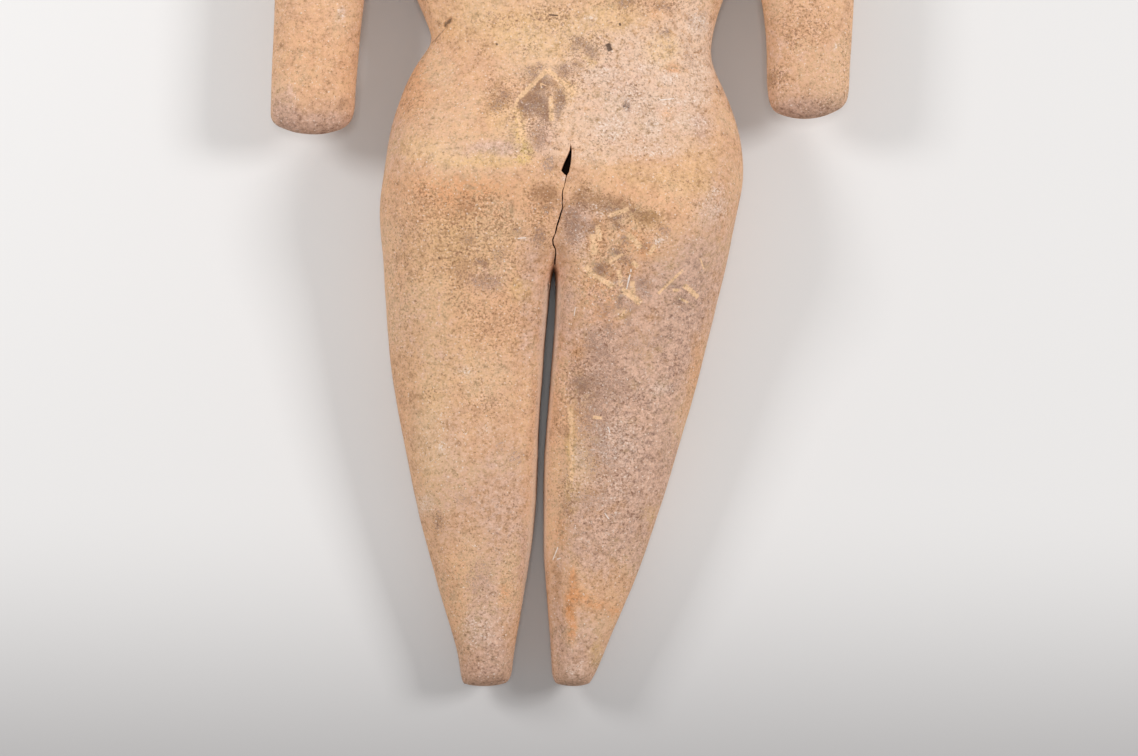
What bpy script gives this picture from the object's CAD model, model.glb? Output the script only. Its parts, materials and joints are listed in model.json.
"""A hand-modelled female figure of fired clay, lying on its front on a pale floor.

The frame's figure is copied and refined into a fine clay body, which is shaped with its
vent, crack, creases and wear, and dressed with a soil-stained terracotta finish.
"""

import json
import logging
import math
from dataclasses import dataclass, field
from enum import Enum

import bpy
import numpy as np
from mathutils import Matrix, Vector, noise

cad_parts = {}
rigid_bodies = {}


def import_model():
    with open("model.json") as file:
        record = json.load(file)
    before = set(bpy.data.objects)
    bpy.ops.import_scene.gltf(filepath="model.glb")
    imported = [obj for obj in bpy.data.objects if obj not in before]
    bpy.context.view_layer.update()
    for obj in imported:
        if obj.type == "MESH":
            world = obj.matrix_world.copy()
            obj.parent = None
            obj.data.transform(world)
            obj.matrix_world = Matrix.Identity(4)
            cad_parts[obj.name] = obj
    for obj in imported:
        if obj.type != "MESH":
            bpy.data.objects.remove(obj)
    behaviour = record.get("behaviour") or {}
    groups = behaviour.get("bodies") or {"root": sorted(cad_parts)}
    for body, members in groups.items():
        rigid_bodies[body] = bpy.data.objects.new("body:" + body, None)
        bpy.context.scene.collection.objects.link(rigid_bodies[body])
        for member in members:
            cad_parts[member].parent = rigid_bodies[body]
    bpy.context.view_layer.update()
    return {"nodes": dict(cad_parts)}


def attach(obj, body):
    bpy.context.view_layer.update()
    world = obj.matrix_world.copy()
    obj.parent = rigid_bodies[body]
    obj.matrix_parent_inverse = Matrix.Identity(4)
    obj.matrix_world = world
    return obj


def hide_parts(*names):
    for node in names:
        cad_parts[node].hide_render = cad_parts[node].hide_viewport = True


LOG = logging.getLogger("clay_figure")
MM = 0.001
Outline = tuple[tuple[float, float], ...]  # corners in pixels of the picture
Socket = bpy.types.NodeSocket
Value = float | tuple | Socket  # what a node's input can be given


def deselect_all() -> None:
    """Leave nothing selected, so that an operator acts on what is chosen next."""
    if bpy.context.object and bpy.context.object.mode != "OBJECT":
        bpy.ops.object.mode_set(mode="OBJECT")
    bpy.ops.object.select_all(action="DESELECT")


def activate(piece: bpy.types.Object) -> None:
    """Select one object alone and make it the active one.

    Args:
        piece: The object.
    """
    deselect_all()
    piece.select_set(True)
    bpy.context.view_layer.objects.active = piece


def smoothstep(low: float, high: float, values: np.ndarray) -> np.ndarray:
    """Return a smooth rise from 0 at low to 1 at high."""
    t = np.clip((values - low) / (high - low), 0.0, 1.0)
    return t * t * (3.0 - 2.0 * t)


def field_noise(points: np.ndarray, size_mm: float, seed: float, octaves: int = 2) -> np.ndarray:
    """Return a smooth noise of about -1 to 1 at points in metres.

    Args:
        points: Positions, one row each.
        size_mm: The size of the noise's lumps.
        seed: Moves the pattern, so that two fields differ.
        octaves: How many finer layers it has.

    Returns:
        One value for each point.
    """
    scaled = points / (size_mm * MM) + np.array([seed, 1.7 * seed, -0.6 * seed])
    return np.array([noise.fractal(Vector(p), 1.0, 2.0, octaves) for p in scaled])


@dataclass(frozen=True)
class Viewpoint:
    """The eye above the figure, and where the picture's pixels fall on it."""

    columns: int = 1138
    rows: int = 756
    mm_per_pixel: float = 0.4
    middle_column: float = 563.6  # over the frame's x = 0
    sole_row: float = 689.0
    sole_y: float = -0.2275
    plane_z: float = 0.024  # where the scale holds
    lens: float = 85.0
    sensor: float = 36.0

    @property
    def centre(self) -> tuple[float, float]:
        """The point of the scale's plane in the middle of the picture."""
        return self.place(self.columns / 2, self.rows / 2)

    @property
    def eye(self) -> Vector:
        """The camera's position."""
        width = self.columns * self.mm_per_pixel * MM
        x, y = self.centre
        return Vector((x, y, self.plane_z + width * self.lens / self.sensor))

    def place(self, column: float, row: float) -> tuple[float, float]:
        """Return x and y on the scale's plane under a pixel."""
        scale = self.mm_per_pixel * MM
        return (column - self.middle_column) * scale, (self.sole_row - row) * scale + self.sole_y

    def pixels(self, points: np.ndarray) -> np.ndarray:
        """Work out the column and row at which each point is seen.

        Args:
            points: Positions in metres, one row each.

        Returns:
            The pixel positions, one row each.
        """
        eye = np.array(self.eye)
        spread = (eye[2] - self.plane_z) / (eye[2] - points[:, 2])
        seen = eye[:2] + (points[:, :2] - eye[:2]) * spread[:, None]
        scale = self.mm_per_pixel * MM
        column = seen[:, 0] / scale + self.middle_column
        row = self.sole_row - (seen[:, 1] - self.sole_y) / scale
        return np.column_stack([column, row])


class Stain(Enum):
    """What a patch of the surface carries; each is an attribute of the body's mesh."""

    WEATHERED = "weathered"  # pinkish grey, where the slip has gone
    PALE = "pale_veil"  # washed out, cooler clay
    BARE = "bare"  # violet-grey hollows of lost slip
    SPECKLE = "speckle"  # dark pitting
    ORANGE = "orange"
    YELLOW = "yellow"
    BROWN = "brown"
    LIME = "lime"  # pale crust
    ROOTS = "roots"  # fine pale root marks


@dataclass(frozen=True)
class Patch:
    """A soft oval of one stain, placed where it is seen on the back.

    Column, row and the two radii are in pixels of the picture, and the turn in degrees.
    """

    column: float
    row: float
    wide: float
    high: float
    strength: float
    turn: float = 0.0

    def cover(self, seen: np.ndarray) -> np.ndarray:
        """Work out how much of the patch lies at each pixel position.

        Args:
            seen: The pixel positions.

        Returns:
            The patch's share at each.
        """
        angle = math.radians(self.turn)
        dx = seen[:, 0] - self.column
        dy = seen[:, 1] - self.row
        along = (dx * math.cos(angle) + dy * math.sin(angle)) / self.wide
        across = (dy * math.cos(angle) - dx * math.sin(angle)) / self.high
        return self.strength * (1.0 - smoothstep(0.35, 1.25, np.hypot(along, across)))


def patches(*rows: tuple[float, ...]) -> tuple[Patch, ...]:
    """Return a patch for each row of its column, row, radii, strength and turn."""
    return tuple(Patch(*row) for row in rows)


PATCHES = {
    Stain.WEATHERED: patches(
        (640, 110, 80, 64, 0.3), (600, 60, 44, 40, 0.2), (690, 300, 20, 80, 0.8),
        (672, 365, 24, 60, 0.85), (640, 540, 14, 60, 0.6), (722, 195, 12, 50, 0.3),
        (702, 130, 14, 24, 0.5), (556, 590, 8, 80, 0.5), (524, 560, 8, 60, 0.5),
        (625, 425, 50, 120, 0.85, -12), (650, 300, 84, 60, 0.7), (560, 300, 16, 60, 0.5),
        (585, 345, 38, 60, 0.65), (600, 530, 46, 60, 0.75), (575, 640, 28, 46, 0.6),
        (500, 500, 34, 80, 0.55), (485, 615, 34, 60, 0.6), (532, 300, 20, 80, 0.6),
        (487, 660, 30, 26, 0.6), (285, 110, 16, 30, 0.7), (320, 124, 46, 16, 0.6),
        (800, 112, 44, 16, 0.6), (500, 148, 44, 9, 0.65), (715, 240, 22, 80, 0.55),
        (395, 140, 14, 50, 0.4), (578, 225, 26, 34, 0.75), (795, 60, 50, 60, 0.4),
        (660, 445, 30, 90, 0.6, -14), (550, 330, 10, 60, 0.5), (486, 282, 26, 20, 0.5),
        (545, 130, 12, 26, 0.6), (430, 330, 50, 60, 0.25), (455, 500, 26, 60, 0.35),
    ),
    Stain.PALE: patches(
        (640, 75, 90, 70, 1.0), (560, 120, 60, 46, 0.7), (692, 40, 26, 70, 0.9),
        (560, 50, 60, 50, 0.4), (600, 150, 60, 16, 0.6), (450, 152, 60, 12, 0.35),
        (520, 20, 60, 30, 0.2), (660, 130, 60, 30, 0.5),
    ),
    Stain.BARE: patches(
        (540, 84, 13, 9, 1.0), (533, 103, 15, 14, 1.0), (545, 110, 7, 12, 0.9),
        (560, 103, 6, 15, 0.9), (535, 68, 12, 6, 0.8, -30), (564, 71, 9, 8, 0.7, 30),
        (539, 136, 8, 16, 0.45), (504, 97, 8, 9, 0.5), (496, 106, 9, 6, 0.5),
        (581, 42, 5, 9, 0.8, -30), (592, 52, 5, 8, 0.8, -35), (573, 48, 6, 6, 0.5),
        (577, 65, 8, 5, 0.6), (664, 34, 7, 5, 0.8), (627, 105, 5.5, 6.5, 1.4),
        (697, 18, 12, 12, 0.25), (663, 5, 9, 6, 0.6), (624, 3, 12, 4, 0.6), (688, 55, 8, 18, 0.2),
        (549, 162, 7, 12, 0.7), (616, 209, 7, 3, 0.9), (633, 211, 5, 4, 0.9),
        (616, 219, 9, 4, 0.8, -10), (620, 226, 6, 4, 1.0), (663, 229, 6, 6, 0.9),
        (624, 241, 6, 5, 0.8), (647, 244, 5, 6, 0.8), (616, 253, 8, 5, 0.8), (626, 260, 8, 6, 0.7),
        (600, 270, 8, 8, 0.9), (613, 277, 6, 6, 0.45), (625, 284, 5, 6, 0.35),
        (643, 288, 12, 12, 0.6), (674, 285, 10, 4, 0.6), (679, 303, 9, 6, 0.6),
        (619, 301, 6, 10, 0.9), (630, 306, 5, 8, 0.6), (628, 322, 6, 6, 0.6), (610, 330, 7, 8, 0.6),
        (570, 222, 9, 26, 0.6), (550, 208, 9, 5, 0.7), (514, 232, 5, 4, 0.8),
        (538, 236, 8, 12, 0.6), (482, 264, 6, 5, 0.6), (487, 282, 14, 9, 0.45),
        (594, 229, 5, 7, 0.8), (500, 255, 6, 10, 0.4), (470, 240, 8, 8, 0.35),
        (600, 350, 16, 14, 0.35), (590, 340, 8, 10, 0.35), (581, 386, 8, 7, 0.8),
        (612, 361, 9, 8, 0.15), (516, 458, 9, 7, 0.6), (500, 442, 6, 6, 0.5), (464, 500, 8, 7, 0.5),
        (439, 524, 6, 10, 0.6), (584, 228, 12, 12, 0.4), (606, 312, 8, 8, 0.5),
        (606, 384, 26, 16, 0.3), (592, 420, 22, 30, 0.35), (600, 460, 20, 24, 0.35),
        (590, 500, 22, 14, 0.3), (640, 345, 24, 12, 0.3), (480, 575, 16, 20, 0.3),
    ),
    Stain.SPECKLE: patches(
        (538, 100, 34, 40, 0.9), (497, 97, 18, 26, 0.8), (484, 52, 8, 8, 0.7),
        (588, 47, 26, 20, 0.8), (552, 16, 30, 16, 0.8), (500, 20, 30, 10, 0.5),
        (525, 48, 16, 10, 0.6), (640, 4, 60, 9, 0.8), (570, 78, 22, 24, 0.6),
        (530, 134, 30, 40, 0.5), (607, 95, 8, 8, 0.6), (632, 91, 12, 9, 0.7),
        (610, 140, 36, 14, 0.4), (645, 110, 16, 9, 0.4), (653, 133, 16, 14, 0.3),
        (640, 60, 70, 60, 0.2), (696, 40, 20, 50, 0.2), (416, 104, 14, 16, 0.5),
        (467, 204, 14, 14, 0.85), (460, 217, 14, 9, 0.7), (425, 196, 14, 18, 0.6),
        (487, 198, 16, 9, 0.75), (488, 212, 14, 10, 0.6), (464, 268, 16, 22, 0.85),
        (482, 264, 14, 9, 0.7), (457, 296, 14, 12, 0.6), (467, 310, 16, 12, 0.6),
        (505, 222, 16, 14, 0.7), (490, 250, 50, 60, 0.5), (500, 320, 44, 30, 0.5),
        (430, 240, 40, 80, 0.4), (544, 196, 18, 16, 1.0), (540, 220, 20, 34, 0.7),
        (618, 206, 50, 13, 1.0, 20), (460, 214, 60, 30, 0.35), (478, 256, 50, 46, 0.3),
        (572, 225, 16, 34, 0.7), (586, 195, 14, 20, 0.85), (600, 206, 24, 12, 0.7),
        (646, 218, 20, 12, 1.0), (616, 218, 20, 16, 0.8), (606, 250, 34, 40, 0.7),
        (600, 284, 40, 30, 0.65), (650, 240, 24, 14, 0.6), (680, 298, 24, 16, 0.4),
        (598, 350, 36, 34, 0.5), (578, 385, 26, 30, 0.7), (476, 370, 70, 50, 0.35),
        (488, 408, 22, 16, 0.5), (432, 392, 10, 16, 0.5), (540, 435, 12, 60, 0.45),
        (800, 20, 34, 26, 0.55), (792, 40, 16, 14, 0.6), (818, 36, 12, 12, 0.6),
        (776, 78, 16, 16, 0.8), (824, 106, 12, 8, 0.8), (848, 60, 9, 60, 0.5),
        (610, 410, 60, 50, 0.5), (600, 480, 60, 60, 0.45), (562, 420, 10, 30, 0.55),
        (567, 500, 12, 26, 0.55), (437, 516, 12, 16, 0.5), (400, 300, 20, 120, 0.3),
        (466, 590, 34, 80, 0.35), (696, 200, 44, 30, 0.3), (310, 60, 50, 80, 0.08),
        (510, 560, 20, 90, 0.35), (610, 560, 50, 60, 0.35), (680, 360, 30, 60, 0.3),
    ),
    Stain.ORANGE: patches(
        (450, 186, 80, 15, 0.65), (480, 202, 70, 28, 0.5), (596, 240, 14, 26, 0.6),
        (600, 284, 24, 22, 0.7), (632, 240, 20, 16, 0.7), (650, 250, 14, 10, 0.7),
        (598, 312, 34, 22, 0.7), (625, 268, 22, 16, 0.6), (640, 196, 70, 16, 0.4, 14),
        (410, 92, 20, 30, 0.6), (310, 60, 34, 56, 0.4), (800, 60, 36, 56, 0.35),
        (574, 576, 5, 14, 1.0), (575, 595, 11, 12, 1.25), (571, 620, 7, 28, 1.1),
        (594, 604, 18, 6, 0.95, 8), (614, 612, 8, 6, 0.9, -50), (586, 598, 10, 6, 0.9),
        (505, 592, 8, 22, 0.7), (455, 600, 16, 60, 0.45), (572, 350, 22, 30, 0.55),
        (552, 560, 7, 70, 0.12), (673, 71, 10, 9, 0.85), (654, 12, 7, 6, 0.7),
        (668, 114, 8, 14, 0.6), (700, 390, 10, 60, 0.35), (472, 655, 14, 14, 0.5),
        (495, 310, 70, 50, 0.35), (545, 205, 24, 26, 0.4), (440, 210, 50, 20, 0.4),
        (400, 420, 12, 60, 0.3), (604, 508, 20, 8, 0.6), (640, 420, 20, 16, 0.4),
        (540, 400, 8, 60, 0.2), (560, 530, 12, 20, 0.6), (420, 70, 10, 16, 0.5),
        (722, 205, 10, 46, 0.5), (692, 360, 10, 50, 0.4), (450, 30, 9, 9, 0.6),
        (345, 70, 10, 50, 0.35), (555, 420, 10, 40, 0.2),
    ),
    Stain.YELLOW: patches(
        (524, 150, 12, 15, 1.6, -6), (519, 126, 8, 22, 1.0, 6), (568, 92, 14, 18, 0.5, 40),
        (545, 34, 60, 34, 0.45), (480, 20, 60, 30, 0.35), (480, 160, 50, 8, 0.6),
        (660, 178, 60, 14, 0.35, 10), (700, 165, 26, 34, 0.3), (662, 50, 20, 20, 0.5),
        (572, 455, 5, 60, 0.9), (440, 260, 40, 60, 0.25), (646, 218, 18, 12, 0.5),
        (647, 512, 12, 7, 0.9), (596, 655, 9, 16, 0.8), (520, 290, 14, 16, 0.6),
        (575, 500, 7, 16, 0.7), (622, 312, 9, 8, 0.8), (440, 360, 50, 60, 0.2),
        (470, 240, 50, 30, 0.25), (612, 18, 40, 20, 0.5), (590, 62, 14, 7, 0.6),
        (430, 440, 20, 60, 0.3), (500, 116, 18, 22, 0.4), (420, 150, 40, 14, 0.4),
    ),
    Stain.BROWN: patches(
        (544, 193, 16, 11, 0.9), (610, 204, 38, 10, 0.7, 18), (579, 196, 7, 14, 0.9),
        (592, 206, 14, 6, 0.6, 16), (646, 217, 15, 8, 1.0, 8), (497, 86, 8, 6, 0.6),
        (519, 107, 4, 4, 0.8), (555, 86, 4, 5, 0.8), (627, 260, 9, 5, 0.5), (640, 92, 7, 4, 0.5),
        (343, 104, 7, 5, 0.7), (596, 228, 6, 9, 0.5), (560, 246, 6, 26, 0.5),
        (566, 504, 6, 10, 0.7), (437, 522, 8, 12, 0.5), (770, 78, 5, 9, 0.8, -20),
        (462, 270, 12, 16, 0.4), (466, 206, 12, 12, 0.5), (642, 111, 9, 4, 0.7),
        (609, 139, 10, 3, 0.7), (540, 246, 9, 12, 0.5), (569, 436, 4, 6, 0.6),
        (582, 420, 4, 10, 0.5), (563, 434, 4, 6, 0.6), (680, 302, 9, 7, 0.5),
        (553, 590, 7, 60, 0.35),
    ),
    Stain.LIME: patches(
        (668, 80, 11, 6, 1.0), (648, 66, 16, 8, 0.6), (610, 128, 22, 16, 0.7),
        (652, 126, 14, 16, 0.8), (628, 100, 30, 20, 0.5), (600, 75, 26, 10, 0.5),
        (592, 20, 9, 5, 0.8), (698, 24, 12, 12, 0.7), (680, 100, 34, 7, 0.6),
        (690, 122, 30, 12, 0.5), (655, 150, 40, 9, 0.5), (712, 205, 18, 22, 0.5),
        (662, 240, 12, 6, 0.9, -18), (523, 238, 8, 3, 0.9), (618, 440, 30, 26, 0.3),
        (606, 480, 40, 40, 0.25), (440, 440, 30, 40, 0.3), (465, 372, 10, 6, 0.8),
        (487, 426, 14, 5, 0.7), (341, 15, 7, 7, 0.9), (838, 44, 4, 3, 1.0), (425, 505, 9, 12, 0.6),
        (576, 668, 14, 10, 0.4), (565, 178, 5, 4, 0.9), (480, 628, 20, 20, 0.4),
        (442, 448, 6, 8, 0.7), (530, 146, 6, 8, 0.3), (660, 388, 14, 8, 0.7),
        (580, 455, 8, 14, 0.6), (500, 148, 30, 7, 0.35), (600, 210, 20, 10, 0.35),
        (582, 240, 12, 20, 0.4), (700, 80, 14, 30, 0.4),
    ),
    Stain.ROOTS: patches(
        (600, 520, 46, 34, 1.0), (560, 555, 14, 24, 1.0), (610, 440, 44, 60, 0.6),
        (495, 525, 34, 36, 0.6), (650, 120, 60, 44, 0.5), (625, 280, 70, 30, 0.5),
        (570, 480, 14, 40, 0.6), (640, 380, 40, 30, 0.5), (480, 440, 40, 40, 0.3),
    ),
}


NO_STROKE = (0.0, 1000.0, 0.0)  # a vertex's numbers where no stroke is near


@dataclass(frozen=True)
class Stroke:
    """A scraped or scratched line between two pixels, with its half width in pixels.

    It is drawn in its own coordinates, which the vertices around it carry, so that it is
    finer than the mesh.
    """

    start: tuple[float, float]
    end: tuple[float, float]
    half: float

    def points(self) -> np.ndarray:
        """Return points along it."""
        return np.linspace(self.start, self.end, 12)

    def clear_of(self, other: "Stroke", gap: float = 12.0) -> bool:
        """Return whether no vertex can be near both strokes."""
        apart = np.linalg.norm(self.points()[:, None] - other.points()[None], axis=2).min()
        return apart - self.half - other.half > gap

    def draw(self, seen: np.ndarray, values: np.ndarray, reach: float = 5.5) -> None:
        """Write how far across and past its ends each vertex near it lies, and its half width.

        Args:
            seen: The pixel at which each vertex is seen.
            values: The three numbers of each vertex, changed in place.
            reach: How far beyond the stroke's edge vertices take part.
        """
        run = np.array(self.end) - np.array(self.start)
        length = float(np.hypot(*run))
        offset = seen - np.array(self.start)
        along = offset @ run / length
        across = offset @ np.array((-run[1], run[0])) / length
        beyond = np.abs(along - length / 2) - length / 2
        near = (np.abs(across) < self.half + reach) & (beyond < self.half + reach)
        values[near] = np.column_stack([across, beyond, np.full(len(seen), self.half)])[near]


def spread_out(family: tuple[Stroke, ...]) -> list[list[Stroke]]:
    """Sort strokes into sets whose members lie clear of each other.

    Args:
        family: The strokes.

    Returns:
        The sets.
    """
    sets: list[list[Stroke]] = []
    for stroke in family:
        for members in sets:
            if all(stroke.clear_of(other) for other in members):
                members.append(stroke)
                break
        else:
            sets.append([stroke])
    return sets


def strokes(*rows: tuple[float, ...]) -> tuple[Stroke, ...]:
    """Return a stroke for each row of its start, its end and its half width."""
    return tuple(Stroke((ax, ay), (bx, by), half) for ax, ay, bx, by, half in rows)


PALE_SCRAPES = strokes(
    (547, 70, 519, 98, 3.2), (518, 98, 514, 112, 2.0), (548, 70, 575, 93, 3.2),
    (551, 96, 551.5, 121, 3.4), (518, 112, 521, 136, 2.2), (570, 408, 571, 425, 3.4),
    (571, 425, 572, 484, 2.1), (593, 417, 602, 418, 2.2), (593, 234, 594.5, 255, 4.4),
    (597.5, 225, 600, 241, 3.8), (586, 266, 592, 276, 4.2), (593, 275, 613, 286, 3.6),
    (619, 270, 621, 286, 3.4), (622, 289, 641, 303, 4.2), (632.7, 281, 632.7, 294, 3.4),
    (622.5, 311.5, 625, 314, 5.4), (628, 234, 641, 248, 3.8), (609, 215.5, 629, 209, 3.0),
    (609, 262, 623, 254, 2.1), (649, 254, 655.5, 245.5, 2.8), (632, 262, 638, 267, 3.0),
    (658, 293.5, 682.7, 270, 1.7), (684, 285, 698, 297.5, 3.4), (675.5, 288.5, 675.5, 291.5, 4.0),
    (679, 298, 688, 302.7, 1.6), (700, 258, 704, 269, 1.1), (577, 396, 589, 397, 1.6),
)
WHITE_SCRATCHES = strokes(
    (631.2, 269, 628, 283, 1.0), (628, 283, 626.6, 289, 0.7), (575.5, 307, 574, 316, 0.5),
    (518, 238.5, 526, 237.6, 0.6), (584, 429, 595, 431, 0.8), (610, 433, 608, 426, 0.8),
    (616, 426, 618, 422, 1.0), (558, 547, 553, 560, 0.6), (553, 560, 561, 558, 0.6),
    (512, 516, 511, 521, 0.7), (604, 512, 609, 519, 0.7), (660, 100, 674, 98.5, 0.6),
)
DARK_MARKS = strokes(
    (617, 15.5, 617.6, 19, 2.0), (619.6, 23, 620.4, 26, 1.6), (607.5, 43.5, 610.5, 51, 3.4),
    (624.6, 101.4, 624.8, 106.8, 2.6), (628.6, 102.6, 628.2, 108, 1.6),
    (716.4, 84.8, 716.9, 88, 1.3), (671, 323.4, 673, 324.4, 1.8), (570.2, 322, 570.4, 325, 1.2),
    (496.4, 43, 497.2, 45, 1.6), (501.2, 68, 502, 70, 1.4), (489, 13, 490, 15, 1.4),
    (439, 257, 439.6, 259, 1.3), (459, 367, 459.4, 369, 1.1), (530, 494, 530.4, 497, 1.2),
    (549, 14.6, 558, 15.6, 0.9), (612, 409, 613, 411, 1.7),
)
STROKES = {"pale": PALE_SCRAPES, "white": WHITE_SCRATCHES, "dark": DARK_MARKS}
VENT_OUTLINE = (
    (570.6, 143.0), (571.7, 147.0), (572.0, 150.5), (571.8, 156.5), (571.0, 164.0), (569.4, 171.5),
    (566.8, 175.8), (563.6, 173.4), (560.8, 170.2), (562.4, 165.5), (564.4, 160.8),
    (567.0, 155.4), (569.4, 150.0),
)
CRACK_PATH = (
    (566.6, 175.0), (565.3, 180.5), (564.4, 186.0), (562.9, 190.0), (562.2, 194.0),
    (562.5, 198.5), (562.0, 203.0), (562.8, 208.0), (560.8, 213.0), (559.4, 218.5),
    (557.0, 225.5), (555.4, 233.0), (552.7, 239.5), (553.2, 244.5), (555.6, 249.0),
    (555.8, 254.0), (555.0, 260.0), (554.6, 266.0), (554.2, 275.0), (553.8, 283.0),
)
FORK = (554.1, 271.0)  # the small hole near the crack's lower end
FORK_RADII = (2.3, 4.6)
THROAT = ((554.0, 270.0), (553.6, 281.0))  # the dark run from the hole to the slit
CHIPS = ((626, 103.5, 5, 0.6), (604, 47, 5, 0.5), (716, 86, 2, 0.5))  # column, row, radius, mm
WAIST_CREASE = ((431.5, 43.5), (435.5, 39.5), (440.5, 33.5), (446.0, 27.5), (450.0, 21.5))
WAIST_PIT = ((445.5, 25.5), (450.5, 19.5))
LEFT_TIP = (80, 136)  # the rows over which each limb's end darkens
RIGHT_TIP = (70, 122)
FEET_TIP = (618, 690)
LEFT_ARM_EDGE = 370  # the columns beyond which the arms lie
RIGHT_ARM_EDGE = 755
ARMS_END = 140
SLIT_TOP = (553.4, 284.0)
SLIT_BANDS = (290.0, 646.0, 8.0)  # first row, last row and step of the legs' cross-sections
NOT_BESIDE = -99.0  # the distance given to what lies on the other side of the slit
SLIT_ROWS = (284.0, 300.0, 350.0, 400.0, 450.0, 500.0, 550.0, 600.0, 640.0)
SLIT_LEFT = (550.0, 548.0, 542.0, 540.0, 536.0, 532.0, 529.0, 521.0, 519.0)
SLIT_RIGHT = (555.0, 556.0, 553.0, 550.0, 546.0, 543.0, 543.0, 546.0, 545.0)


def path_distance(seen: np.ndarray, path: Outline) -> np.ndarray:
    """Measure how far each pixel position is from a broken line.

    Args:
        seen: Pixel positions, one row each.
        path: The line's corners.

    Returns:
        The distances in pixels.
    """
    least = np.full(len(seen), np.inf)
    for start, end in zip(path, path[1:]):
        a = np.array(start)
        run = np.array(end) - a
        along = np.clip((seen - a) @ run / (run @ run), 0.0, 1.0)
        least = np.minimum(least, np.hypot(*(seen - a - along[:, None] * run).T))
    return least


def depth_inside(seen: np.ndarray, outline: Outline) -> np.ndarray:
    """Measure how far inside a closed outline each pixel position is.

    Args:
        seen: Pixel positions, one row each.
        outline: The outline's corners.

    Returns:
        The depths in pixels, negative outside.
    """
    closed = outline + outline[:1]
    inside = np.zeros(len(seen), dtype=bool)
    for (ax, ay), (bx, by) in zip(closed, closed[1:]):
        crosses = (ay > seen[:, 1]) != (by > seen[:, 1])
        at = ax + (seen[:, 1] - ay) / (by - ay if by != ay else 1e-9) * (bx - ax)
        inside ^= crosses & (seen[:, 0] < at)
    return np.where(inside, 1.0, -1.0) * path_distance(seen, closed)


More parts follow.
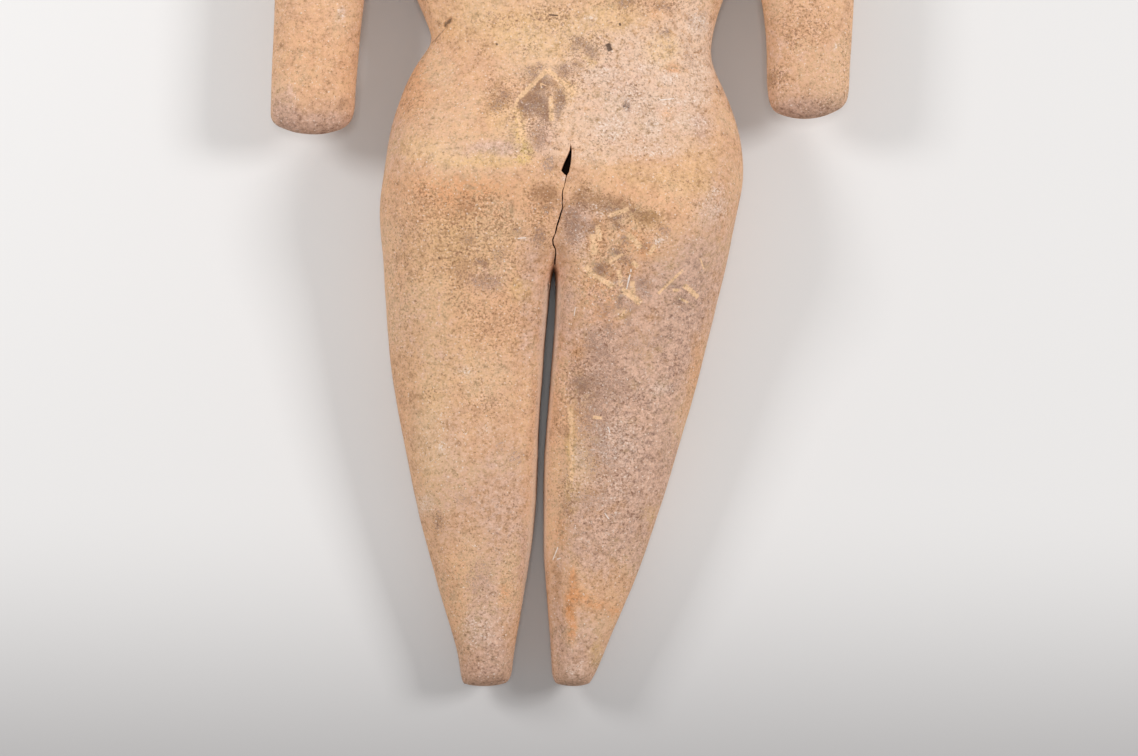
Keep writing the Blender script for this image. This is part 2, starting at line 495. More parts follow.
@dataclass
class ClayBody:
    """The figure's clay body: a fine copy of the frame's solid, shaped by hand."""

    frame_node: bpy.types.Object
    view: Viewpoint
    levels: int = 2  # of subdivision all over
    cuts: int = 3  # more of each edge near the vent, the crack and the crease
    merge_mm: float = 0.02
    lump_mm: float = 0.28  # how far the hand-smoothed surface wanders
    ripple_mm: float = 0.07  # the same for its finer unevenness
    vent_depth_mm: float = 12.0
    crack_depth_mm: float = 2.6
    fork_depth_mm: float = 1.2
    crease_depth_mm: float = 0.5
    pit_depth_mm: float = 1.0
    slit_reach_mm: float = 9.0  # how far from the slit the legs' edges are filled out
    back_z: float = 0.035  # the back around the vent lies above this
    cut_z: float = 0.028  # what lies below this isn't cut finer
    vent_step: float = 0.004  # what lies this far below its neighbours is in the frame's vent
    foot_z: float = 0.006  # the legs' inner walls end here, above the floor
    piece: bpy.types.Object = field(init=False)
    co: np.ndarray = field(init=False)  # the vertices' positions
    normal: np.ndarray = field(init=False)
    seen: np.ndarray = field(init=False)  # the pixel at which each is seen from above

    def build(self) -> bpy.types.Object:
        """Make, shape and mark the body.

        Returns:
            The finished piece, at the origin.
        """
        self.copy_frame()
        self.subdivide_all()
        self.subdivide_near_cuts()
        self.square_slit()
        self.shape()
        activate(self.piece)
        bpy.ops.object.shade_smooth()
        return self.piece

    def copy_frame(self) -> None:
        """Copy the frame's triangles, merge their corners and pair them into quads."""
        mesh = self.frame_node.data.copy()
        mesh.name = "clay_body"
        self.piece = bpy.data.objects.new("clay_body", mesh)
        bpy.context.scene.collection.objects.link(self.piece)
        activate(self.piece)
        bpy.ops.object.mode_set(mode="EDIT")
        bpy.ops.mesh.select_all(action="SELECT")
        bpy.ops.mesh.remove_doubles(threshold=self.merge_mm * MM)
        bpy.ops.mesh.tris_convert_to_quads(
            face_threshold=math.radians(60), shape_threshold=math.radians(70)
        )
        bpy.ops.object.mode_set(mode="OBJECT")
        self.close_vent()

    def close_vent(self) -> None:
        """Lift the frame's vent to the surface, so that it can be cut again in detail."""
        co = self.read("co")
        near = (co[:, 2] > self.back_z) & (depth_inside(self.view.pixels(co), VENT_OUTLINE) > -8.0)
        joined: dict[int, list[int]] = {}
        for edge in self.piece.data.edges:
            a, b = edge.vertices
            joined.setdefault(a, []).append(b)
            joined.setdefault(b, []).append(a)
        for index in np.nonzero(near)[0]:
            around = [co[i, 2] for i in joined[int(index)]]
            if max(around) - co[index, 2] > self.vent_step:
                co[index, 2] = float(np.median(sorted(around)[-2:]))
        self.write(co)

    def subdivide_all(self) -> None:
        """Give the whole body its fine, rounded surface."""
        activate(self.piece)
        modifier = self.piece.modifiers.new("fine_surface", "SUBSURF")
        modifier.levels = self.levels
        modifier.render_levels = self.levels
        bpy.ops.object.modifier_apply(modifier=modifier.name)

    def subdivide_near_cuts(self) -> None:
        """Cut the faces finer along the vent, the crack and the crease at the waist."""
        activate(self.piece)
        mesh = self.piece.data
        centres = np.empty(len(mesh.polygons) * 3)
        mesh.polygons.foreach_get("center", centres)
        centres = centres.reshape(-1, 3)
        seen = self.view.pixels(centres)
        near = (path_distance(seen, CRACK_PATH) < 6.0) | (depth_inside(seen, VENT_OUTLINE) > -5.0)
        near |= path_distance(seen, WAIST_CREASE) < 7.0
        near &= centres[:, 2] > self.cut_z
        bpy.ops.object.mode_set(mode="EDIT")
        bpy.ops.mesh.select_mode(type="FACE")
        bpy.ops.mesh.select_all(action="DESELECT")
        bpy.ops.object.mode_set(mode="OBJECT")
        mesh.polygons.foreach_set("select", near)
        bpy.ops.object.mode_set(mode="EDIT")
        bpy.ops.mesh.subdivide(number_cuts=self.cuts)
        bpy.ops.object.mode_set(mode="OBJECT")

    def read(self, what: str) -> np.ndarray:
        """Read one vector of each vertex.

        Args:
            what: "co" for positions or "normal" for normals.

        Returns:
            The vectors, one row each.
        """
        values = np.empty(len(self.piece.data.vertices) * 3)
        self.piece.data.vertices.foreach_get(what, values)
        return values.reshape(-1, 3)

    def write(self, co: np.ndarray) -> None:
        """Store new vertex positions."""
        self.piece.data.vertices.foreach_set("co", co.ravel())
        self.piece.data.update()

    def mark(self, name: str, values: np.ndarray) -> None:
        """Store one number, or three, for each vertex as an attribute.

        Args:
            name: The attribute's name.
            values: The numbers.
        """
        kind, slot = ("FLOAT", "value") if values.ndim == 1 else ("FLOAT_VECTOR", "vector")
        attribute = self.piece.data.attributes.new(name, kind, "POINT")
        attribute.data.foreach_set(slot, values.astype(np.float32).ravel())

    def square_slit(self) -> None:
        """Fill out the legs' round inner edges, so that the slit between them stays crisp."""
        reach = self.slit_reach_mm
        co = self.read("co")
        seen = self.view.pixels(co)
        down = seen[:, 1]
        rows = np.arange(*SLIT_BANDS)
        fade = smoothstep(244, 262, down) * (1 - 0.75 * smoothstep(410, 510, down))
        fade *= 1 - smoothstep(540, 620, down)
        for side, columns, strength in ((-1.0, SLIT_LEFT, 1.0), (1.0, SLIT_RIGHT, 0.75)):
            edge = np.interp(down, SLIT_ROWS, columns)
            beside = side * (seen[:, 0] - edge)
            own_side = side * (seen[:, 0] - SLIT_TOP[0]) > 0
            above = np.where(own_side, np.hypot(*(seen - SLIT_TOP).T), NOT_BESIDE)
            away = np.where(down < SLIT_TOP[1], above, beside) * self.view.mm_per_pixel
            crest, foot = [], []
            for row in rows:
                band = (np.abs(down - row) < 9) & (away > -1.0) & (away < reach)
                crest.append(co[band, 2].max())
                brink = band & (away < 1.0) & (co[:, 2] > self.foot_z)
                foot.append(np.percentile(co[brink, 2], 60) if brink.any() else 0.02)
            crest = np.interp(down, rows, crest)
            foot = np.interp(down, rows, foot)
            share = np.clip((co[:, 2] - foot) / (crest - foot), 0.0, 1.0)
            lift = (np.power(share, 0.42) - share) * (crest - foot)
            wider = 1.0 + 0.5 * (1 - smoothstep(276, 300, down))
            near = (away > -2.5) * (1 - smoothstep(0.45 * reach, reach, away / wider))
            co[:, 2] += lift * near * fade * strength
        self.write(co)

    def shape(self) -> None:
        """Wander, cut, crack and wear the surface, and mark its stains."""
        self.co = co = self.read("co")
        self.normal = self.read("normal")
        self.seen = self.view.pixels(co)
        upward = smoothstep(0.1, 0.5, self.normal[:, 2])

        lumps = field_noise(co, 26, 3.1, 3) * self.lump_mm
        lumps += field_noise(co, 7, 8.3) * self.ripple_mm
        off_floor = smoothstep(0.0, 0.003, co[:, 2])
        co += self.normal * (lumps * off_floor * MM)[:, None]
        sink, hollow = self.cut()
        co[:, 2] -= sink * upward * MM
        self.write(co)

        self.mark("hollow", np.clip(hollow, 0, 1) * upward)
        self.mark_stains()
        self.mark_wall_and_tips()
        self.mark_strokes()

    def cut(self) -> tuple[np.ndarray, np.ndarray]:
        """Work out the vent, crack, hole, crease, pit and chips.

        Returns:
            How far each vertex sinks in millimetres, and how dark the cuts make it.
        """
        co, seen, down = self.co, self.seen, self.seen[:, 1]
        wander = field_noise(co, 2.4, 5.0)
        vent = depth_inside(seen, VENT_OUTLINE)
        sink = self.vent_depth_mm * smoothstep(0.0, 1.6, vent) + 0.5 * smoothstep(-4, 0, vent)
        crack = path_distance(seen, CRACK_PATH) + 0.35 * wander
        half = 0.6 + 0.4 * field_noise(co, 5.0, 2.2)
        half *= 1.0 - 0.7 * smoothstep(176, 178, down) * (1 - smoothstep(181, 184, down))
        half = np.maximum(half, 0.15)
        sink += self.crack_depth_mm * (1 - smoothstep(0.0, 1.0, crack / (1.2 * half)))
        sink += 0.3 * (1 - smoothstep(0.0, 4.0, crack))
        fork = np.hypot(*((seen - FORK) / FORK_RADII).T) + 0.15 * wander
        sink += self.fork_depth_mm * (1 - smoothstep(0.55, 1.0, fork))
        crease = path_distance(seen, WAIST_CREASE) + 0.5 * wander
        sink += self.crease_depth_mm * (1 - smoothstep(0.0, 3.0, crease))
        pit = path_distance(seen, WAIST_PIT) + 1.5 * field_noise(co, 1.3, 7.7)
        sink += self.pit_depth_mm * (1 - smoothstep(0.6, 3.2, pit))
        for column, row, radius, depth in CHIPS:
            away = np.hypot(seen[:, 0] - column, down - row) + 0.8 * wander
            sink += depth * (1 - smoothstep(0.35 * radius, radius, away))

        throat = path_distance(seen, THROAT)
        hollow = smoothstep(0.0, 1.2, vent) + 0.85 * (1 - smoothstep(0.5, 1.3, crack / half))
        hollow += 0.85 * (1 - smoothstep(0.6, 1.0, fork))
        hollow += 0.85 * (1 - smoothstep(1.2, 2.4, throat))
        hollow += 0.45 * (1 - smoothstep(0.0, 1.6, crease)) * smoothstep(24, 30, down)
        hollow += 0.5 * (1 - smoothstep(0.2, 3.0, pit))
        return sink, hollow

    def mark_stains(self) -> None:
        """Mark each stain: by its patches where they show, and at random elsewhere."""
        co = self.co
        shown = smoothstep(-0.1, 0.3, self.normal[:, 2]) * smoothstep(-22, -4, self.seen[:, 1])
        warp = np.column_stack([field_noise(co, 9, 11.0), field_noise(co, 9, 17.0)]) * 4.0
        warp += np.column_stack([field_noise(co, 3, 23.0), field_noise(co, 3, 29.0)]) * 1.6
        for number, (stain, members) in enumerate(PATCHES.items()):
            left = np.ones(len(co))
            for patch in members:
                left *= 1.0 - patch.cover(self.seen + warp)
            random = field_noise(co, 34, 40.0 + 7 * number, 3)
            unseen = 0.75 * smoothstep(-0.05, 0.75, random)
            self.mark(stain.value, (1.0 - left) * shown + unseen * (1.0 - shown))

    def mark_wall_and_tips(self) -> None:
        """Mark what faces up, the slit's walls, and the ends of the arms and legs."""
        across, down = self.seen.T
        up = self.normal[:, 2]
        self.mark("facing", smoothstep(0.05, 0.3, up))
        middle = np.interp(down, SLIT_ROWS, np.add(SLIT_LEFT, SLIT_RIGHT) / 2)
        wall = (1 - smoothstep(8, 14, np.abs(across - middle))) * smoothstep(276, 290, down)
        steep = 1 - smoothstep(0.25, 0.7, up)
        self.mark("slit_wall", wall * steep * (self.co[:, 2] > self.foot_z))
        left, right = across < LEFT_ARM_EDGE, (across > RIGHT_ARM_EDGE) & (down < ARMS_END)
        hands = smoothstep(*LEFT_TIP, down) * left + smoothstep(*RIGHT_TIP, down) * right
        self.mark("tips", np.maximum(smoothstep(*FEET_TIP, down), hands))

    def mark_strokes(self) -> None:
        """Mark where each set of strokes lies."""
        for family, members in STROKES.items():
            for number, apart in enumerate(spread_out(members)):
                values = np.tile(NO_STROKE, (len(self.seen), 1))
                for stroke in apart:
                    stroke.draw(self.seen, values)
                self.mark(f"{family}_{number}", values)


class Wiring:
    """Adds nodes to one node tree and joins them."""

    def __init__(self, tree: bpy.types.NodeTree) -> None:
        """Start wiring in a tree."""
        self.tree = tree

    def add(self, kind: str, inputs: dict[str | int, Value] | None = None,
            **settings: object) -> bpy.types.Node:
        """Add a node.

        Args:
            kind: Its type, such as "ShaderNodeMath".
            inputs: Values or sockets for its inputs, by name or number.
            **settings: Its own properties.

        Returns:
            The new node.
        """
        node = self.tree.nodes.new(kind)
        for name, value in settings.items():
            setattr(node, name, value)
        for key, value in (inputs or {}).items():
            self.feed(node.inputs[key], value)
        return node

    def feed(self, socket: Socket, value: Value) -> None:
        """Set an input, or link a socket to it.

        Args:
            socket: The input.
            value: What it gets.
        """
        if isinstance(value, Socket):
            self.tree.links.new(value, socket)
        else:
            socket.default_value = value

    def math(self, operation: str, a: Value, b: Value = 0.0) -> Socket:
        """Add a Math node and return its result."""
        return self.add("ShaderNodeMath", {0: a, 1: b}, operation=operation).outputs[0]

    def times(self, a: Value, b: Value) -> Socket:
        """Return a number times another."""
        return self.math("MULTIPLY", a, b)

    def plus(self, a: Value, b: Value) -> Socket:
        """Return a number plus another."""
        return self.math("ADD", a, b)

    def minus(self, a: Value, b: Value) -> Socket:
        """Return a number less another."""
        return self.math("SUBTRACT", a, b)

    def moved(self, vector: Value, offset: Value) -> Socket:
        """Return a vector plus another."""
        return self.add("ShaderNodeVectorMath", {0: vector, 1: offset}, operation="ADD").outputs[0]

    def scaled(self, vector: Value, factor: Value) -> Socket:
        """Return a vector times a number."""
        node = self.add("ShaderNodeVectorMath", {0: vector, "Scale": factor}, operation="SCALE")
        return node.outputs[0]

    def noise(self, vector: Value, scale: float, detail: float, rough: float = 0.55) -> Socket:
        """Add a Noise Texture and return its value, which is around 0.5."""
        inputs = {"Vector": vector, "Scale": scale, "Detail": detail, "Roughness": rough}
        return self.add("ShaderNodeTexNoise", inputs).outputs["Fac"]

    def rise(self, value: Value, low: Value, high: Value) -> Socket:
        """Return a smooth rise of a value from 0 at low to 1 at high."""
        inputs = {"Value": value, "From Min": low, "From Max": high}
        return self.add("ShaderNodeMapRange", inputs, interpolation_type="SMOOTHSTEP").outputs[0]

    def mix(self, share: Value, a: Value, b: Value, blend: str = "MIX") -> Socket:
        """Mix two colours.

        Args:
            share: How much of the second is used.
            a: The first colour.
            b: The second colour.
            blend: How they are joined.

        Returns:
            The new colour.
        """
        node = self.add("ShaderNodeMix", data_type="RGBA", blend_type=blend)
        for key, value in (("Factor", share), (6, a), (7, b)):
            self.feed(node.inputs[key], value)
        return node.outputs[2]

    def attribute(self, name: str) -> Socket:
        """Return a number stored on the mesh."""
        return self.add("ShaderNodeAttribute", attribute_name=name).outputs["Fac"]


class Effect:
    """A shader node group with named inputs, built once and placed where it is needed."""

    def __init__(self, name: str, inputs: dict[str, float | tuple], *outputs: str) -> None:
        """Make an empty group.

        Args:
            name: The group's name.
            inputs: Each input's name and default; a tuple makes a vector input.
            *outputs: The names of its number outputs.
        """
        self.tree = bpy.data.node_groups.new(name, "ShaderNodeTree")
        for title, default in inputs.items():
            kind = "NodeSocketVector" if isinstance(default, tuple) else "NodeSocketFloat"
            socket = self.tree.interface.new_socket(title, in_out="INPUT", socket_type=kind)
            socket.default_value = default
        for title in outputs:
            self.tree.interface.new_socket(title, in_out="OUTPUT", socket_type="NodeSocketFloat")
        self.wiring = Wiring(self.tree)
        self.given = self.wiring.add("NodeGroupInput").outputs
        self.result = self.wiring.add("NodeGroupOutput").inputs

    def node(self, wiring: Wiring, **inputs: Value) -> bpy.types.Node:
        """Place the group in a material and return its node."""
        return wiring.add("ShaderNodeGroup", inputs, node_tree=self.tree)

    def place(self, wiring: Wiring, **inputs: Value) -> Socket:
        """Place the group in a material and return its first output."""
        return self.node(wiring, **inputs).outputs[0]


def lacy_patch() -> Effect:
    """Build the effect that breaks a soft amount into patches with lacy edges.

    Returns:
        A group that gives the patches' mask and the mask of their rims.
    """
    inputs = {"Lace": 0.5, "Amount": 0.0, "Swing": 2.6, "Edge": 0.1}
    effect = Effect("lacy_patch", inputs, "Mask", "Rim")
    w, given = effect.wiring, effect.given
    swing = w.times(w.minus(given["Lace"], 0.5), given["Swing"])
    level = w.plus(w.minus(given["Amount"], 0.5), swing)
    mask = w.rise(level, w.times(given["Edge"], -1.0), given["Edge"])
    mask = w.times(mask, w.rise(given["Amount"], 0.01, 0.15))
    w.feed(effect.result["Mask"], mask)
    w.feed(effect.result["Rim"], w.times(w.times(mask, w.minus(1.0, mask)), 4.0))
    return effect


def speckle() -> Effect:
    """Build the effect that picks small, uneven specks out of a fine noise.

    Returns:
        A group that gives their mask.
    """
    effect = Effect("speckle", {"Fine": 0.5, "Crowd": 0.5, "Amount": 0.0}, "Mask")
    w, given = effect.wiring, effect.given
    crowd = w.plus(0.03, w.times(w.rise(given["Crowd"], 0.4, 0.58), 0.15))
    level = w.plus(given["Fine"], w.times(given["Amount"], crowd))
    w.feed(effect.result["Mask"], w.rise(level, 0.645, 0.672))
    return effect


def grit() -> Effect:
    """Build the effect that scatters small dots, one at most in each cell.

    Returns:
        A group that gives their mask.
    """
    inputs = {"Place": (0.0, 0.0, 0.0), "Cell": 1.5, "Amount": 0.2, "Radius": 0.3}
    effect = Effect("grit", inputs, "Mask")
    w, given = effect.wiring, effect.given
    scale = w.math("DIVIDE", 1.0, given["Cell"])
    cells = w.add("ShaderNodeTexVoronoi", {"Vector": given["Place"], "Scale": scale}).outputs
    chance, size, _ = w.add("ShaderNodeSeparateColor", {0: cells["Color"]}).outputs
    chosen = w.math("LESS_THAN", chance, given["Amount"])
    radius = w.times(given["Radius"], w.plus(0.35, size))
    radius = w.math("DIVIDE", radius, given["Cell"])
    dot = w.minus(1.0, w.rise(cells["Distance"], w.times(radius, 0.45), radius))
    w.feed(effect.result["Mask"], w.times(dot, chosen))
    return effect


def scrape() -> Effect:
    """Build the effect that draws the strokes of one set from the vertices' numbers.

    Returns:
        A group that gives their mask.
    """
    effect = Effect("scrape", {"Numbers": NO_STROKE, "Shake": 1.0}, "Mask")
    w, given = effect.wiring, effect.given
    across, beyond, half = w.add("ShaderNodeSeparateXYZ", {0: given["Numbers"]}).outputs
    rim = w.math("MAXIMUM", w.times(half, given["Shake"]), 0.01)
    line = w.rise(w.math("ABSOLUTE", across), rim, w.times(rim, 0.45))
    w.feed(effect.result["Mask"], w.times(line, w.rise(beyond, 0.6, -0.6)))
    return effect


def root_hairs() -> Effect:
    """Build the effect that lays short, branching pale threads.

    Returns:
        A group that gives their mask.
    """
    inputs = {"Place": (0.0, 0.0, 0.0), "Bend": (0.0, 0.0, 0.0), "Amount": 0.0}
    effect = Effect("root_hairs", inputs, "Mask")
    w, given = effect.wiring, effect.given
    bent = w.moved(given["Place"], w.scaled(given["Bend"], 7.0))
    web = w.add("ShaderNodeTexVoronoi", {"Vector": bent, "Scale": 0.2}, feature="DISTANCE_TO_EDGE")
    thread = w.minus(1.0, w.rise(web.outputs["Distance"], 0.012, 0.03))
    broken = w.rise(w.noise(given["Place"], 0.36, 2.0), 0.52, 0.57)
    w.feed(effect.result["Mask"], w.times(w.times(thread, broken), given["Amount"]))
    return effect


def colour(red: int, green: int, blue: int) -> tuple[float, float, float, float]:
    """Turn a display colour of 0 to 255 into the linear one that a shader takes.

    Args:
        red: Its red.
        green: Its green.
        blue: Its blue.

    Returns:
        The linear colour, with an alpha of 1.
    """
    linear = [
        (c / 255 / 12.92) if c <= 10 else ((c / 255 + 0.055) / 1.055) ** 2.4
        for c in (red, green, blue)
    ]
    return (*linear, 1.0)


@dataclass(frozen=True)
class Terracotta:
    """Unglazed buff clay with grit, worn slip, soil stains and pale crust."""

    shade_tint: tuple = (0.64, 0.42, 0.28)  # grain darkens and lightens with little change of hue
    buff: tuple = colour(224, 178, 141)
    light_buff: tuple = colour(229, 189, 152)
    pink: tuple = colour(206, 156, 126)
    sandy: tuple = colour(226, 180, 136)
    rose: tuple = colour(205, 162, 134)
    washed: tuple = colour(228, 195, 170)
    weathered: tuple = colour(188, 153, 137)
    pale_worn: tuple = colour(208, 170, 150)
    bare: tuple = colour(164, 137, 124)
    orange: tuple = colour(216, 158, 112)
    rust: tuple = colour(216, 143, 88)
    yellow: tuple = colour(222, 184, 126)
    brown: tuple = colour(150, 108, 74)
    speck: tuple = colour(112, 74, 50)
    soot: tuple = colour(66, 48, 41)
    lime: tuple = colour(226, 204, 190)
    crumb: tuple = colour(240, 222, 208)
    scraped: tuple = colour(239, 197, 155)
    white: tuple = colour(242, 232, 224)
    hollow: tuple = colour(40, 27, 22)
    dusty: tuple = colour(226, 212, 198)
    tip: tuple = colour(180, 144, 127)
    bump: float = 0.5
    bump_height_mm: float = 0.4

    def make(self) -> bpy.types.Material:
        """Build the material and return it."""
        return Dressing(self).finish()


class Dressing:
    """The terracotta in the making: each layer is laid over the base colour so far."""

    def __init__(self, tones: Terracotta) -> None:
        """Start the material, lay its noises over the body in millimetres and build its effects.

        Args:
            tones: The finish's colours.
        """
        self.tones = tones
        self.material = bpy.data.materials.new("terracotta")
        self.material.use_nodes = True
        self.material.node_tree.nodes.clear()
        self.w = w = Wiring(self.material.node_tree)
        self.place = place = w.scaled(w.add("ShaderNodeTexCoord").outputs["Object"], 1.0 / MM)
        broad = w.noise(place, 0.045, 2.0, 0.5)
        self.wide_lace = w.noise(place, 0.22, 5.0, 0.66)
        self.lace = w.noise(w.moved(place, (40.0, 9.0, 3.0)), 0.42, 5.0, 0.68)
        self.fine_lace = w.noise(w.moved(place, (5.0, 70.0, 1.0)), 0.8, 4.0, 0.7)
        self.grain = w.noise(place, 1.2, 3.0, 0.7)
        bend = {"Vector": place, "Scale": 0.35, "Detail": 2.0}
        self.bend = w.add("ShaderNodeTexNoise", bend).outputs["Color"]
        self.stain = {kind: w.attribute(kind.value) for kind in Stain}
        self.facing = w.attribute("facing")
        self.patch, self.specks, self.dots, self.line = lacy_patch(), speckle(), grit(), scrape()
        self.base = w.mix(w.rise(broad, 0.42, 0.6), tones.buff, tones.light_buff)
        self.relief = [(self.fine_lace, 0.5), (self.grain, 0.45)]

    def coat(self, tone: Value, mask: Socket, share: float = 1.0) -> None:
        """Lay a colour over the base, as strongly as a share of a mask."""
        self.base = self.w.mix(self.w.times(mask, share), self.base, tone)

    def finish(self) -> bpy.types.Material:
        """Lay all the layers and join them to the shader.

        Returns:
            The finished material.
        """
        w = self.w
        self.mottle()
        self.wear()
        self.scrape_and_shade()
        self.dirty()
        self.scatter_crumbs()
        self.scratch()
        self.coat(self.tones.dusty, w.attribute("slit_wall"), 0.4)
        self.coat(self.tones.hollow, w.rise(w.attribute("hollow"), 0.1, 0.75))
        height: Value = 0.0
        for part, rise in self.relief:
            height = w.plus(height, w.times(part, rise))
        bump = w.add("ShaderNodeBump", {
            "Height": height, "Strength": self.tones.bump,
            "Distance": self.tones.bump_height_mm * MM,
        })
        shader = w.add("ShaderNodeBsdfPrincipled", {
            "Base Color": self.base, "Roughness": w.plus(0.82, w.times(self.lace, 0.16)),
            "Normal": bump.outputs[0], "Specular IOR Level": 0.25,
        })
        w.add("ShaderNodeOutputMaterial", {"Surface": shader.outputs[0]})
        return self.material

    def mottle(self) -> None:
        """Mottle the clay, with its washed, orange and yellow parts."""
        w, t, stain = self.w, self.tones, self.stain
        for lace, low, high, tone, share in (
            (self.wide_lace, 0.48, 0.55, t.sandy, 0.45), (self.fine_lace, 0.48, 0.54, t.pink, 0.3),
            (self.lace, 0.51, 0.55, t.rose, 0.4),
        ):
            self.coat(tone, w.rise(lace, low, high), share)
        self.coat(t.washed, w.times(stain[Stain.PALE], w.rise(self.lace, 0.3, 0.56)), 0.9)
        self.coat(t.orange, w.times(stain[Stain.ORANGE], w.rise(self.lace, 0.36, 0.58)), 0.85)
        strong = w.minus(stain[Stain.ORANGE], 0.52)
        strong = self.patch.place(w, Lace=self.fine_lace, Amount=strong, Swing=2.4, Edge=0.45)
        self.coat(t.rust, strong, 0.65)
        self.coat(t.yellow, w.times(stain[Stain.YELLOW], w.rise(self.fine_lace, 0.34, 0.56)), 0.85)

    def wear(self) -> None:
        """Lay the worn and bare patches, the brown stains and the crust."""
        w, t, stain, patch = self.w, self.tones, self.stain, self.patch
        cloudy = w.plus(w.times(self.wide_lace, 0.6), w.times(self.lace, 0.4))
        amount = w.minus(w.times(stain[Stain.WEATHERED], 0.95), w.times(stain[Stain.ORANGE], 0.4))
        worn = patch.place(w, Lace=cloudy, Amount=amount, Swing=3.4, Edge=0.45)
        two_tone = w.mix(w.rise(self.lace, 0.4, 0.6), t.weathered, t.pale_worn)
        self.coat(two_tone, worn, 0.85)
        self.coat(t.tip, w.attribute("tips"), 0.55)
        crumbly = w.plus(w.times(self.fine_lace, 0.55), w.times(self.grain, 0.45))
        amount = w.times(stain[Stain.BARE], 0.72)
        bare = patch.node(w, Lace=crumbly, Amount=amount, Swing=6.5, Edge=0.16)
        self.bare, self.bare_rim = bare.outputs
        self.coat(t.bare, self.bare, 0.74)
        amount = w.times(stain[Stain.BROWN], 0.7)
        self.coat(t.brown, patch.place(w, Lace=crumbly, Amount=amount, Swing=5.0, Edge=0.25), 0.55)
        self.coat(t.lime, w.times(stain[Stain.LIME], w.rise(self.fine_lace, 0.42, 0.56)), 0.6)
        self.relief.append((self.bare, -0.25))

    def scrape_and_shade(self) -> None:
        """Draw the pale scrapes, and darken and lighten the skin with its grain."""
        w, stain = self.w, self.stain
        scraped = self.lines("pale", self.fine_lace, 0.32, 0.44)
        self.coat(self.tones.scraped, scraped, 0.95)
        self.keep = w.minus(1.0, w.times(scraped, 0.8))
        self.relief.append((scraped, -0.15))

        rough = w.plus(stain[Stain.WEATHERED], w.plus(stain[Stain.SPECKLE], stain[Stain.PALE]))
        rough = w.plus(0.65, w.times(rough, 0.55))
        shade = w.times(w.minus(self.grain, 0.5), w.times(rough, 1.15))
        for lace, depth in ((self.fine_lace, 1.5), (self.lace, 1.7), (self.wide_lace, 1.15)):
            shade = w.plus(shade, w.times(w.minus(lace, 0.5), depth))
        shade = w.math("MAXIMUM", w.math("MINIMUM", shade, w.times(shade, 0.5)), -0.55)
        self.base = w.mix(1.0, self.base, w.scaled(self.tones.shade_tint, shade), "ADD")

    def dirty(self) -> None:
        """Scatter the dark pitting, etching and dots, most of it on the bare patches."""
        w, t, specks = self.w, self.tones, self.specks
        speckled = self.stain[Stain.SPECKLE]
        amount = w.plus(speckled, w.times(self.bare, 0.9))
        fine = w.minus(1.0, self.grain)
        pitted = specks.place(w, Fine=fine, Crowd=self.lace, Amount=amount)
        fine = w.minus(1.0, self.fine_lace)
        etched = specks.place(w, Fine=fine, Crowd=self.wide_lace, Amount=amount)
        self.coat(t.brown, w.times(etched, self.keep), 0.5)
        dark = w.math("MAXIMUM", w.times(pitted, 0.42), w.times(self.bare_rim, 0.3))
        self.coat(t.speck, w.times(dark, self.keep))
        place = w.moved(self.place, w.scaled(self.bend, 3.0))
        amount = w.plus(0.04, w.times(speckled, 0.12))
        dots = self.dots.place(w, Place=place, Cell=1.1, Amount=amount, Radius=0.3)
        self.coat(t.speck, dots, 0.55)
        self.relief += [(pitted, -0.4), (etched, -0.2)]

    def scatter_crumbs(self) -> None:
        """Scatter the pale crumbs and the root marks."""
        w, t, crust = self.w, self.tones, self.stain[Stain.LIME]
        amount = w.plus(w.times(crust, 0.9), 0.1)
        crumbs = self.specks.place(w, Fine=self.grain, Crowd=self.wide_lace, Amount=amount)
        place = w.moved(self.place, (5.0, 53.0, 9.0))
        amount = w.plus(0.1, w.times(crust, 0.3))
        dots = self.dots.place(w, Place=place, Cell=1.2, Amount=amount, Radius=0.34)
        bright = w.math("MAXIMUM", w.times(dots, 0.75), w.times(crumbs, 0.75))
        self.coat(t.crumb, bright)
        self.relief.append((bright, 0.3))
        amount = self.stain[Stain.ROOTS]
        roots = root_hairs().place(w, Place=self.place, Bend=self.bend, Amount=amount)
        self.coat(t.lime, roots, 0.7)

    def scratch(self) -> None:
        """Draw the white scratches and the dark marks."""
        self.coat(self.tones.white, self.lines("white", self.grain, 0.2, 0.3), 0.85)
        marked = self.lines("dark", self.grain, 0.2, 0.3)
        self.coat(self.tones.soot, marked, 0.85)
        self.relief.append((marked, -0.3))

    def lines(self, family: str, shake: Socket, worn: float, whole: float) -> Socket:
        """Place one family of strokes, where the surface faces up.

        Args:
            family: The family's name.
            shake: A fine noise that makes their edges uneven.
            worn: Where the noise is below this, they are worn away.
            whole: Where it is above this, they are whole.

        Returns:
            The mask of them all.
        """
        w = self.w
        uneven = w.plus(-0.15, w.times(shake, 2.3))
        total: Value = 0.0
        for number in range(len(spread_out(STROKES[family]))):
            numbers = w.add("ShaderNodeAttribute", attribute_name=f"{family}_{number}")
            mask = self.line.place(w, Numbers=numbers.outputs["Vector"], Shake=uneven)
            total = w.math("MAXIMUM", total, mask)
        return w.times(total, w.times(w.rise(shake, worn, whole), self.facing))


@dataclass(frozen=True)
class Lamp:
    """A square light: which way it hangs from the figure, how far off, its side and watts."""

    name: str
    towards: tuple[float, float, float]
    distance: float
    size: float
    power: float


LAMPS = (
    Lamp("right_light", (0.695, 0.186, 0.695), 1.6, 0.45, 11.5),
    Lamp("left_light", (-0.652, 0.304, 0.695), 0.9, 0.25, 2.85),
    Lamp("top_light", (0.0, 0.02, 1.0), 1.6, 0.2, 3.6),
)


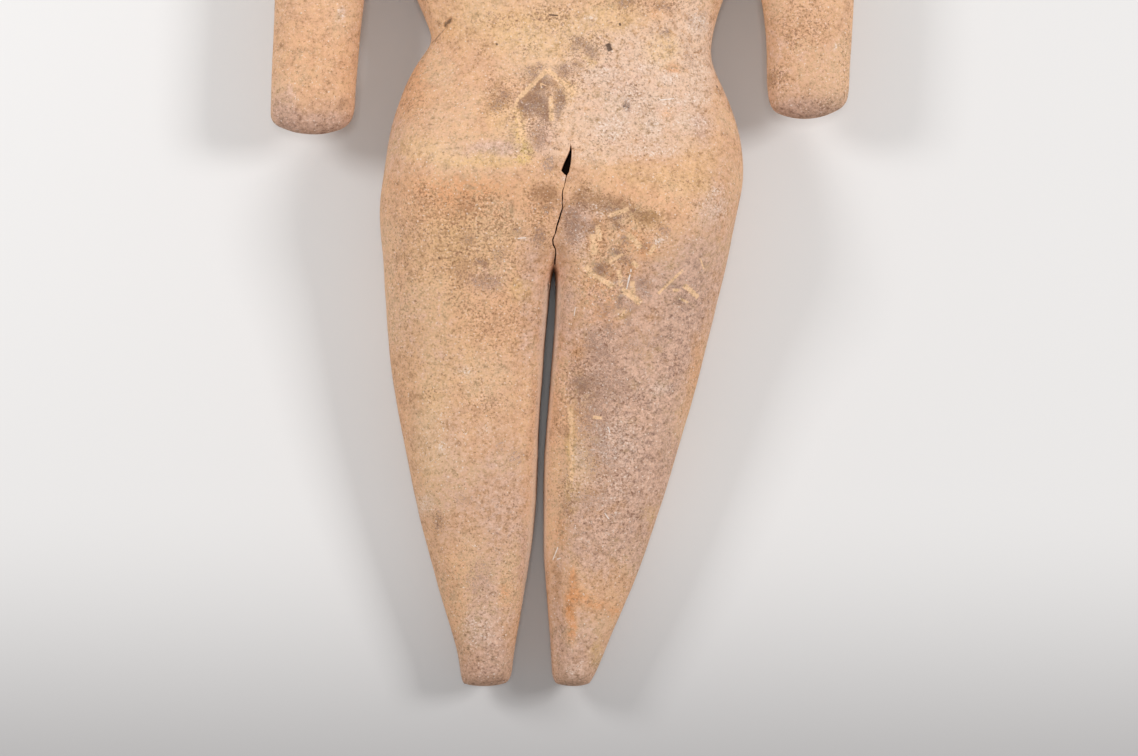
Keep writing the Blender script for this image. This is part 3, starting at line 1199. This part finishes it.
@dataclass
class Studio:
    """The pale floor, the lights and the camera."""

    view: Viewpoint
    floor_size: float = 3.0
    near_floor: tuple = (0.45, 0.44, 0.44, 1)  # below the figure's feet
    far_floor: tuple = (0.8, 0.79, 0.785, 1)
    target: tuple = (0.0, -0.05, 0.02)  # what the lamps look at
    room_tint: tuple = (1.0, 0.985, 0.975, 1)
    ambient: float = 0.375

    def build(self) -> None:
        """Set up everything around the figure."""
        self.lay_floor()
        for lamp in LAMPS:
            self.hang(lamp)
        self.surround()
        self.aim_camera()
        scene = bpy.context.scene
        scene.view_settings.view_transform = "Standard"
        scene.view_settings.look = "None"

    def lay_floor(self) -> None:
        """Lay a plain pale floor, a little darker towards the figure's feet."""
        deselect_all()
        bpy.ops.mesh.primitive_plane_add(size=self.floor_size, location=(0, 0, 0))
        floor = bpy.context.object
        floor.name = "floor"
        material = bpy.data.materials.new("pale_paper")
        material.use_nodes = True
        material.node_tree.nodes.clear()
        w = Wiring(material.node_tree)
        place = w.add("ShaderNodeTexCoord").outputs["Object"]
        along = w.add("ShaderNodeSeparateXYZ", {0: place}).outputs["Y"]
        base = w.mix(w.rise(along, -0.3, -0.15), self.near_floor, self.far_floor)
        shader = w.add("ShaderNodeBsdfPrincipled", {
            "Base Color": base, "Roughness": 0.85, "Specular IOR Level": 0.1,
        })
        w.add("ShaderNodeOutputMaterial", {"Surface": shader.outputs[0]})
        floor.data.materials.append(material)

    def hang(self, lamp: Lamp) -> None:
        """Hang a lamp that looks at the figure.

        Args:
            lamp: The lamp.
        """
        direction = Vector(lamp.towards).normalized()
        data = bpy.data.lights.new(lamp.name, "AREA")
        data.shape = "SQUARE"
        data.size = lamp.size
        data.energy = lamp.power
        hung = bpy.data.objects.new(lamp.name, data)
        hung.location = Vector(self.target) + direction * lamp.distance
        hung.rotation_euler = direction.to_track_quat("Z", "Y").to_euler()
        bpy.context.scene.collection.objects.link(hung)

    def surround(self) -> None:
        """Fill the room with an even, soft light."""
        world = bpy.data.worlds.new("soft_room")
        world.use_nodes = True
        background = world.node_tree.nodes["Background"]
        background.inputs["Color"].default_value = self.room_tint
        background.inputs["Strength"].default_value = self.ambient
        bpy.context.scene.world = world

    def aim_camera(self) -> None:
        """Look straight down at the back, with the head towards the picture's top."""
        data = bpy.data.cameras.new("camera")
        data.lens = self.view.lens
        data.sensor_width = self.view.sensor
        data.sensor_fit = "HORIZONTAL"
        data.clip_start = 0.01
        camera = bpy.data.objects.new("camera", data)
        camera.matrix_world = Matrix.Translation(self.view.eye)
        bpy.context.scene.collection.objects.link(camera)
        bpy.context.scene.camera = camera


def main() -> None:
    """Build the figure and its studio."""
    logging.basicConfig(level=logging.INFO, format="%(name)s: %(message)s")
    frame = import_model()
    view = Viewpoint()

    body = ClayBody(frame["nodes"]["figure"], view).build()
    body.data.materials.clear()
    body.data.materials.append(Terracotta().make())
    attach(body, "root")
    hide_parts("figure")
    LOG.info("clay body: %d faces", len(body.data.polygons))

    Studio(view).build()
    LOG.info("studio: floor, three lights and camera")


if __name__ == "__main__":
    main()
